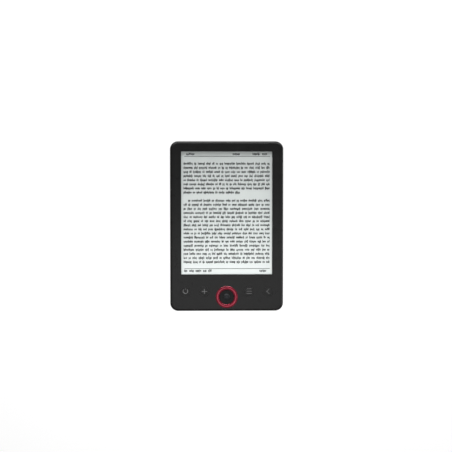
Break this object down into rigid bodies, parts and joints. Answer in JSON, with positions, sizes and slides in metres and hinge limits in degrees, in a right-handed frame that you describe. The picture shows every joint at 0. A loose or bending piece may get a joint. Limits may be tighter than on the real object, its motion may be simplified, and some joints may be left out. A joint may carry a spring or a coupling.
{
  "type": "e-reader",
  "caption": "Flat tablet-shaped e-reader: matt case around a paper-like page screen, small keys below it and a red-ringed round navigation pad.",
  "frame": {"origin": "middle of the flat back face, under the centre of the case", "axes": "+Z comes out of the screen, +Y runs up the page to the top edge, +X runs to the right along the lines"},
  "size_m": [0.113, 0.1694, 0.0094],
  "materials": {
    "case_plastic": "fine spark-eroded texture",
    "cover_plastic": "soft-touch texture",
    "key_plastic": "fine texture",
    "pad_plastic": "fine texture",
    "ring_red": "polished",
    "paper_screen": "matt film",
    "panel_glass": "polished",
    "foam": "foam",
    "tape": "matt",
    "frame_metal": "cast",
    "circuit_board": "solder mask",
    "chip_plastic": "moulded",
    "coil_ferrite": "ferrite",
    "part_ceramic": "fired",
    "sheet_steel": "plated",
    "dark_steel": "blackened",
    "connector_plastic": "moulded",
    "socket_plastic": "moulded",
    "flex_polyimide": "film",
    "battery_foil": "laminated pouch",
    "lead_red": "insulated",
    "lead_black": "insulated",
    "brass_insert": "knurled",
    "led_resin": "clear resin",
    "clear_plastic": "polished"
  },
  "bodies": {
    "case": {"rear_cover": "cover_plastic", "front_bezel": "case_plastic", "nav_ring": "ring_red", "display_film": "paper_screen", "display_glass": "panel_glass", "display_drivers": "chip_plastic", "display_ribbon": "flex_polyimide", "display_gasket": "foam", "display_tape": "tape", "mid_frame": "frame_metal", "mainboard": "circuit_board", "shield_can": "sheet_steel", "processor": "chip_plastic", "memory_chip": "chip_plastic", "storage_chip": "chip_plastic", "power_chip": "chip_plastic", "power_coils": "coil_ferrite", "clock_crystal": "sheet_steel", "small_parts": "part_ceramic", "display_connector": "connector_plastic", "keypad_connector": "connector_plastic", "battery_connector": "connector_plastic", "usb_shell": "sheet_steel", "usb_tongue": "socket_plastic", "card_socket": "sheet_steel", "reset_switch": "chip_plastic", "charge_led": "led_resin", "light_pipe": "clear_plastic", "battery_cell": "battery_foil", "battery_board": "circuit_board", "battery_lead_red": "lead_red", "battery_lead_black": "lead_black", "battery_tape": "tape", "keypad_board": "circuit_board", "power_dome": "sheet_steel", "plus_dome": "sheet_steel", "menu_dome": "sheet_steel", "back_dome": "sheet_steel", "ok_dome": "sheet_steel", "nav_domes": "sheet_steel", "keypad_ribbon": "flex_polyimide", "keypad_screws": "sheet_steel", "frame_screws": "sheet_steel", "board_screws": "sheet_steel", "case_screws": "dark_steel", "screw_inserts": "brass_insert"},
    "nav_gimbal": {"nav_gimbal": "sheet_steel"},
    "nav_pad": {"nav_pad": "pad_plastic"},
    "ok_key": {"ok_key": "key_plastic"},
    "power_key": {"power_key": "key_plastic"},
    "plus_key": {"plus_key": "key_plastic"},
    "menu_key": {"menu_key": "key_plastic"},
    "back_key": {"back_key": "key_plastic"},
    "reset_plunger": {"reset_plunger": "connector_plastic"}
  },
  "joints": [
    {"name": "nav_tilt_y", "type": "hinge", "parent": "case", "child": "nav_gimbal", "pos_m": [0, -0.07075, 0.0067], "axis": [1, 0, 0], "range_deg": [-1.8, 1.8], "stiffness_Nm_per_rad": 0.05, "deforming": ["nav_domes", "ok_dome"]},
    {"name": "nav_tilt_x", "type": "hinge", "parent": "nav_gimbal", "child": "nav_pad", "pos_m": [0, -0.07075, 0.0067], "axis": [0, 1, 0], "range_deg": [-1.8, 1.8], "stiffness_Nm_per_rad": 0.05, "deforming": ["nav_domes", "ok_dome"]},
    {"name": "ok_press", "type": "slide", "parent": "nav_pad", "child": "ok_key", "axis": [0, 0, -1], "range_m": [0, 0.00025], "stiffness_N_per_m": 400, "deforming": ["ok_dome"]},
    {"name": "power_press", "type": "slide", "parent": "case", "child": "power_key", "axis": [0, 0, -1], "range_m": [0, 0.00025], "stiffness_N_per_m": 400, "deforming": ["power_dome"]},
    {"name": "plus_press", "type": "slide", "parent": "case", "child": "plus_key", "axis": [0, 0, -1], "range_m": [0, 0.00025], "stiffness_N_per_m": 400, "deforming": ["plus_dome"]},
    {"name": "menu_press", "type": "slide", "parent": "case", "child": "menu_key", "axis": [0, 0, -1], "range_m": [0, 0.00025], "stiffness_N_per_m": 400, "deforming": ["menu_dome"]},
    {"name": "back_press", "type": "slide", "parent": "case", "child": "back_key", "axis": [0, 0, -1], "range_m": [0, 0.00025], "stiffness_N_per_m": 400, "deforming": ["back_dome"]},
    {"name": "reset_press", "type": "slide", "parent": "case", "child": "reset_plunger", "axis": [0, 1, 0], "range_m": [0, 0.00025], "stiffness_N_per_m": 400}
  ]
}
